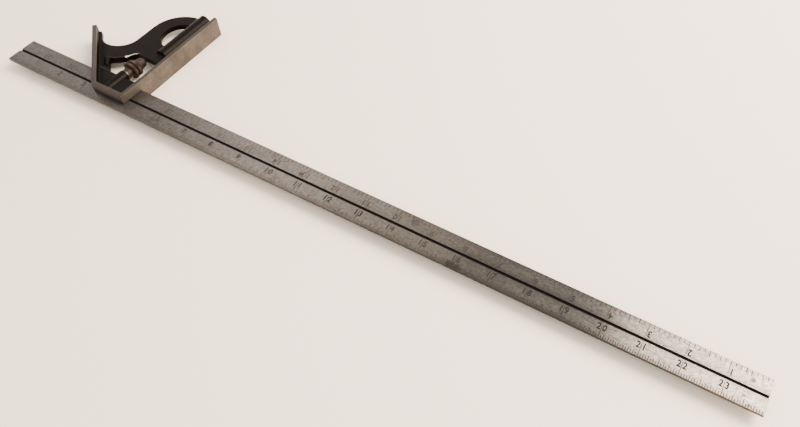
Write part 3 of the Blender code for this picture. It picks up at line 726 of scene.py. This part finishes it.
# the painted part of the casting: fused, then relaxed, so that corners and roots round as cast iron does
def makeCasting(material):
    bm = bmesh.new()
    bm.from_mesh(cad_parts["square_head"].data)
    bmesh.ops.remove_doubles(bm, verts=bm.verts, dist=0.005 * mm)
    casting = loose("headCasting", bm)
    step = head["paintStep"]
    inset = head["paintInset"]
    far = head["mitreRun"] + 60 * mm  # well past the casting
    end = head["faceLength"] + 5 * mm
    corners = [(-inset, inset), (-inset, end), (-head["baseLength"] - far, end),
               (-head["baseLength"] - far, far + inset),
               (-head["baseLength"] + inset * head["mitreTurn"], inset)]
    outline = [(faceX + x, baseY + y) for x, y in corners][::-1]
    limit = extrudeOutline(outline, headLow.z + step, headHigh.z - step)
    cutWith(casting, [loose("paintLimit", limit)], "INTERSECT")
    cutWith(casting, [loose("windowLip", lipStrip())], "UNION")
    fuse = casting.modifiers.new("fuse", "REMESH")
    fuse.mode = "VOXEL"
    fuse.voxel_size = head["grain"]
    relax = casting.modifiers.new("relax", "SMOOTH")
    relax.factor = 0.5
    relax.iterations = head["relax"]
    casting.data = meshOf(casting)
    casting.modifiers.clear()
    start = boltLow.y - head["boltRoom"]
    # relaxing narrows the bolt's bore, so it is cut again
    bore = [(0, start), (head["boltBore"], start), (head["boltBore"], nutLow.y), (0, nutLow.y)]
    cutWith(casting, [loose("boltBore", turn(bore, lockX, 64))])
    bm = bmesh.new()
    bm.from_mesh(casting.data)
    bpy.data.objects.remove(casting, do_unlink=True)
    return makePiece("headCasting", bm, material, "head", "head_iron", smoothAngle=60)


# lock

lock = {"knurl": 54, "knurlDepth": 0.22 * mm, "knurlFrom": 6.3 * mm,
        # the nut's outline from the boss outwards: radius and place along, in mm
        "outline": [(2.7, 0.0), (3.9, 0.0), (4.2, 0.3), (4.2, 3.9), (5.9, 4.15), (6.5, 4.3), (6.75, 4.6),
                    (6.75, 6.7), (6.5, 7.0), (5.5, 7.15), (5.3, 7.5), (5.5, 7.85), (6.5, 8.0), (6.75, 8.3),
                    (6.75, 10.5), (6.5, 10.8), (5.4, 11.2), (4.95, 11.7), (4.6, 13.3), (4.15, 15.4),
                    (3.8, 17.1), (3.6, 17.9), (3.25, 18.4), (2.9, 18.6), (2.7, 18.45)]}


def makeNut(material):
    outline = [(radius * mm, nutLow.y + along * mm) for radius, along in lock["outline"]]
    bm = turn(outline, lockX, lock["knurl"] * 4, closed=True)
    for vert in bm.verts:
        away = Vector((vert.co.x - lockX, 0, vert.co.z - midZ))
        if away.length > lock["knurlFrom"]:
            angle = math.atan2(away.z, away.x)
            away *= 1 - lock["knurlDepth"] / away.length * (0.5 - 0.5 * math.cos(angle * lock["knurl"]))
            vert.co.x = lockX + away.x
            vert.co.z = midZ + away.z
    return makePiece("lockNut", bm, material, "nut", "nut_steel", "lock_nut")


# level

level = {"bubbleLength": 9.0 * mm, "bubbleRadius": 1.5 * mm, "bubbleAside": 0.5 * mm, "lineGap": 6.0 * mm,
         # section of a line round the vial, out from the glass and along it
         "line": ((0.02 * mm, -0.15 * mm), (0.06 * mm, 0.0), (0.02 * mm, 0.15 * mm), (-0.05 * mm, 0.0))}


def makeBubble(material):
    middle = (vialLow.y + vialHigh.y) / 2
    bm = bmesh.new()
    size = Matrix.LocRotScale(Vector((levelX - level["bubbleAside"], middle, midZ)), None,
                              Vector((level["bubbleRadius"], level["bubbleLength"] / 2, level["bubbleRadius"])))
    bmesh.ops.create_uvsphere(bm, u_segments=32, v_segments=20, radius=1.0, matrix=size)
    return makePiece("vialBubble", bm, material, "head", "vial_spirit")


def makeVialLines(material):
    middle = (vialLow.y + vialHigh.y) / 2
    radius = (vialHigh.z - vialLow.z) / 2
    bm = bmesh.new()
    for side in (-1, 1):
        y = middle + side * level["lineGap"]
        ring = turn([(radius + out, y + along) for out, along in level["line"]], levelX, 48, closed=True)
        mesh = bpy.data.meshes.new("ring")
        ring.to_mesh(mesh)
        ring.free()
        bm.from_mesh(mesh)
    return makePiece("vialLines", bm, material, "head", "vial_glass")


# build

steel = ruleSteel()
ink = markInk()
makeRule(steel)
for name, perInch, farEdge, under in (("marks8", 8, True, False), ("marks16", 16, False, False),
                                      ("marks32", 32, True, True), ("marks64", 64, False, True)):
    makeMarks(name, perInch, farEdge, under, ink)
for name, farEdge, under in (("digitsFar", True, False), ("digitsNear", False, False),
                             ("digitsFarUnder", True, True), ("digitsNearUnder", False, True)):
    makeDigits(name, farEdge, under, ink)
print("rule made")

# the chipped window rim, with its painted highlight
chipGlintStart, chipGlintEnd = (Vector((faceX + x * mm, baseY + y * mm, midZ + head["chipGlintRise"]))
                      for x, y in (head["chipGlintStart"], head["chipGlintEnd"]))
chipGlints = [(chipGlintStart.lerp(chipGlintEnd, share), head["chipGlintRadius"]) for share in head["chipGlints"]]
ground = groundSteel()
makeRim(ground)
makeCasting(japannedIron(chipGlints))
print("head made")

makeNut(brownedSteel())
finishes = {
    "lock_bolt": turnedMetal("turnedBoltSteel", "a8a19a", "7a726a", 0.3),
    "thrust_washer": turnedMetal("turnedWasherSteel", "57504a", "38322d", 0.4),
    "lock_spring": turnedMetal("drawnSpringWire", "8f8982", "6a635c", 0.35),
    "level_sleeve": turnedMetal("dullBrassTube", "b8934e", "8a6b38", 0.35),
    "level_end_plug": turnedMetal("tarnishedBrassPlug", "8d7346", "5e4a2c", 0.42),
    "vial_glass": clearMaterial("blownVialGlass", "eef6f0", 1.5, 0.02),
    "vial_spirit": clearMaterial("yellowSpirit", "dfe88a", 1.36, 0.0),
    "plaster_near": plasterWhite(),
    "plaster_far": plasterWhite(),
}
for node, material in finishes.items():
    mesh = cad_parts[node].data
    mesh.materials.clear()
    mesh.materials.append(material)
makeBubble(clearMaterial("airBubble", "ffffff", 1.0, 0.0))
makeVialLines(ink)
print("lock and level made")

# stage, light and camera

stage = {"floorHalf": 4.0, "floorDrop": 0.02 * mm,
         "lampPlace": (0.70, 0.72, 1.10), "lampAim": (0.10, 0, 0), "lampSize": 1.0, "lampWatts": 72,
         "lampColour": "fff5e6", "skyColour": "f4f1ec", "skyStrength": 2.1,
         "lens": 31.07, "shift": (-0.0564, 0.0210), "eye": (0.5144, -0.2201, 0.37475),  # from the rule's corner
         "right": (0.875, 0.483, 0.022), "down": (0.401, -0.700, -0.591), "forward": (-0.270, 0.526, -0.806)}


def makeFloor():
    bm = bmesh.new()
    bmesh.ops.create_grid(bm, x_segments=1, y_segments=1, size=stage["floorHalf"],
                           matrix=Matrix.Translation((0, 0, -stage["floorDrop"])))
    mesh = bpy.data.meshes.new("floor")
    bm.to_mesh(mesh)
    bm.free()
    material, tree, shader, place = startMaterial("warmPaperFloor")
    paper = addNode(tree, "ShaderNodeTexNoise", {
        "Vector": place, "Scale": 1 / (300 * mm), "Detail": 2, "Roughness": 0.5}).outputs["Fac"]
    tree.links.new(
        addNode(tree, "ShaderNodeMix", {
            0: paper, 6: toLinear("f4e3cf"), 7: toLinear("f7e7d4")}, data_type="RGBA").outputs[2],
        shader.inputs["Base Color"])
    shader.inputs["Roughness"].default_value = 0.8
    mesh.materials.append(material)
    floor = bpy.data.objects.new("floor", mesh)
    bpy.context.scene.collection.objects.link(floor)


def addLight(name, place, aim, size, watts, colour):
    data = bpy.data.lights.new(name, "AREA")
    data.size = size
    data.energy = watts
    data.color = toLinear(colour)[:3]
    lamp = bpy.data.objects.new(name, data)
    lamp.location = place
    lamp.rotation_euler = (Vector(aim) - Vector(place)).to_track_quat("-Z", "Y").to_euler()
    bpy.context.scene.collection.objects.link(lamp)


def makeCamera():
    right, down, forward = (Vector(stage[way]) for way in ("right", "down", "forward"))
    corner = (ruleLow.x, ruleLow.y, ruleHigh.z)
    place = Vector([away + along for away, along in zip(stage["eye"], corner)])
    data = bpy.data.cameras.new("camera")
    data.lens = stage["lens"]
    data.sensor_width = 36.0
    data.shift_x, data.shift_y = stage["shift"]
    data.clip_start = 0.01
    camera = bpy.data.objects.new("camera", data)
    turnTo = Matrix((right, -down, -forward)).transposed().to_4x4()
    camera.matrix_world = Matrix.Translation(place) @ turnTo
    bpy.context.scene.collection.objects.link(camera)
    bpy.context.scene.camera = camera


makeFloor()
addLight("keyLight", stage["lampPlace"], stage["lampAim"], stage["lampSize"], stage["lampWatts"],
         stage["lampColour"])
world = bpy.data.worlds.new("studio")
world.use_nodes = True
world.node_tree.nodes["Background"].inputs["Color"].default_value = toLinear(stage["skyColour"])
world.node_tree.nodes["Background"].inputs["Strength"].default_value = stage["skyStrength"]
bpy.context.scene.world = world
makeCamera()
print("stage made")
